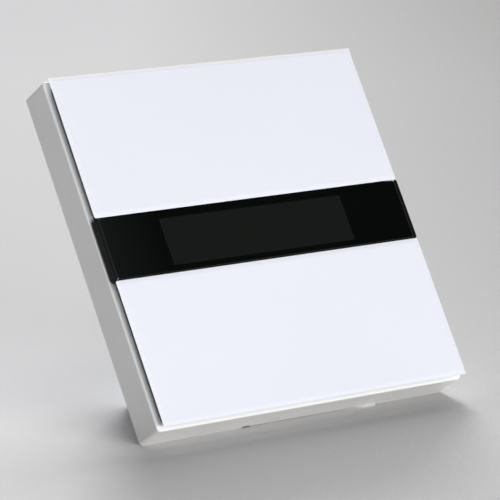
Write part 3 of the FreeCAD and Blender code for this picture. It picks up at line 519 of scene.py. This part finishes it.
def floor():
    """Pale floor under the switch, seen from above only, so that it hides nothing in a view from below. Its colour
    is painted light falloff: darker to the right and lighter behind the switch.
    """
    low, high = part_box("frame")
    foot = Vector((0.0, high.y, low.z))
    corners = []
    for right, front in ((-1, 1), (1, 1), (1, -1), (-1, -1)):
        corners.append(foot + FLOOR_REACH * (right * ROOM_RIGHT + front * ROOM_FRONT))
    mesh = bpy.data.meshes.new("floor")
    mesh.from_pydata(corners, [], [(0, 1, 2, 3)])
    plane = bpy.data.objects.new("floor", mesh)
    bpy.context.collection.objects.link(plane)
    n = Nodes("floor_pale")
    # Painted light falloff: the floor's colour darkens to the right and lifts behind the switch.
    tone = n.carry(n.along(picture_right()), -FLOOR_FADE_HALF, FLOOR_FADE_HALF)
    darker_to_right = n.ramp(tone, srgb(222, 222, 224), srgb(188, 188, 188), 0.3, 1.0)
    painted_light_falloff = n.new("ShaderNodeVectorMath")
    painted_light_falloff.operation = "SCALE"
    behind = n.along(ROOM_UP.cross(picture_right()))
    n.fill(painted_light_falloff, {0: darker_to_right, "Scale": n.carry(behind, 0.0, FLOOR_LIFT_DEPTH, 1.0, FLOOR_LIFT)})
    grain = n.noise(scale=2400.0, detail=1.0)
    speckle = n.ramp(grain, srgb(90, 90, 90), srgb(216, 216, 216))
    n.set(Base_Color=n.blend(FLOOR_GRAIN_SHARE, painted_light_falloff.outputs["Vector"], speckle, "OVERLAY"))
    n.bump(grain, 0.03 * MM)
    n.set(Roughness=0.9, Specular_IOR_Level=0.0)
    see_through = n.new("ShaderNodeBsdfTransparent")
    side = n.new("ShaderNodeNewGeometry")
    mix = n.new("ShaderNodeMixShader", Fac=side.outputs["Backfacing"])
    n.tree.links.new(n.shader.outputs[0], mix.inputs[1])
    n.tree.links.new(see_through.outputs[0], mix.inputs[2])
    n.tree.links.new(mix.outputs[0], n.output.inputs["Surface"])
    mesh.materials.append(n.material)


def picture_right():
    """Direction along the floor that runs from left to right in the picture."""
    return (CAMERA_AIM - CAMERA_PLACE).cross(ROOM_UP).normalized()


def world():
    """Dim light from all sides with a dark side to the right, and a pale backdrop that is seen and mirrored only."""
    studio = bpy.data.worlds.new("studio")
    bpy.context.scene.world = studio
    studio.use_nodes = True
    tree = studio.node_tree
    direction = tree.nodes.new("ShaderNodeTexCoord").outputs["Generated"]

    def part_towards(way, start, end, low, high):
        side = tree.nodes.new("ShaderNodeVectorMath")
        side.operation = "DOT_PRODUCT"
        side.inputs[1].default_value = way
        tone = tree.nodes.new("ShaderNodeMapRange")
        tree.links.new(direction, side.inputs[0])
        tree.links.new(side.outputs["Value"], tone.inputs["Value"])
        for name, value in (("From Min", start), ("From Max", end), ("To Min", low), ("To Max", high)):
            tone.inputs[name].default_value = value
        return tone.outputs["Result"]

    def calculate(operation, first, second):
        node = tree.nodes.new("ShaderNodeMath")
        node.operation = operation
        node.use_clamp = True
        tree.links.new(first, node.inputs[0])
        tree.links.new(second, node.inputs[1])
        return node.outputs[0]

    front = part_towards(ROOM_FRONT, *FRONT_FADE, BACK_GLOW, FRONT_GLOW)
    right = part_towards(ROOM_RIGHT, *DARK_FADE, 1.0, DARK_SIDE)
    light = tree.nodes["Background"]
    light.inputs["Color"].default_value = GLOW_TINT
    tree.links.new(calculate("MULTIPLY", front, right), light.inputs["Strength"])
    ray = tree.nodes.new("ShaderNodeLightPath").outputs
    backdrop = tree.nodes.new("ShaderNodeBackground")
    backdrop.inputs["Color"].default_value = srgb(208, 208, 210)
    tree.links.new(calculate("ADD", ray["Is Camera Ray"], right), backdrop.inputs["Strength"])
    mirrored = calculate("ADD", ray["Is Glossy Ray"], ray["Is Transmission Ray"])
    mix = tree.nodes.new("ShaderNodeMixShader")
    tree.links.new(calculate("ADD", ray["Is Camera Ray"], mirrored), mix.inputs[0])
    tree.links.new(light.outputs[0], mix.inputs[1])
    tree.links.new(backdrop.outputs[0], mix.inputs[2])
    tree.links.new(mix.outputs[0], tree.nodes["World Output"].inputs["Surface"])


def lamp(data, right, front, up):
    """Put a light at a place given along the room's axes, turned to the switch and level with the floor."""
    place = right * ROOM_RIGHT + front * ROOM_FRONT + up * ROOM_UP
    away = place.normalized()
    side = ROOM_UP.cross(away).normalized()
    above = away.cross(side)
    turn = Matrix((side, above, away)).transposed().to_4x4()
    light = bpy.data.objects.new(data.name, data)
    light.matrix_world = Matrix.Translation(place) @ turn
    bpy.context.collection.objects.link(light)


def lamps():
    """Soft daylight from behind on the right, a low wide soft box in front, and a weaker one above."""
    for name, degrees, energy, way in SUNS:
        window = bpy.data.lights.new(name, "SUN")
        window.angle = math.radians(degrees)
        window.energy = energy
        lamp(window, *way)
    for name, width, height, watts, place in BOXES:
        box = bpy.data.lights.new(name, "AREA")
        box.shape = "RECTANGLE"
        box.size = width
        box.size_y = height
        box.energy = watts
        box.color = BOX_TINT
        lamp(box, *place)


def camera():
    """The photograph's camera."""
    forward = (CAMERA_AIM - CAMERA_PLACE).normalized()
    right = forward.cross(ROOM_UP).normalized()
    up = right.cross(forward)
    data = bpy.data.cameras.new("camera")
    data.sensor_width = SENSOR_MM
    data.lens = LENS_MM
    data.clip_start = CLIP_START
    data.clip_end = CLIP_END
    view = bpy.data.objects.new("camera", data)
    turn = Matrix((right, up, -forward)).transposed().to_4x4()
    view.matrix_world = Matrix.Translation(CAMERA_PLACE) @ turn
    bpy.context.collection.objects.link(view)
    bpy.context.scene.camera = view


dress_front()
dress_inside()
dress_back()
floor()
world()
lamps()
camera()
bpy.context.scene.view_settings.view_transform = "Standard"
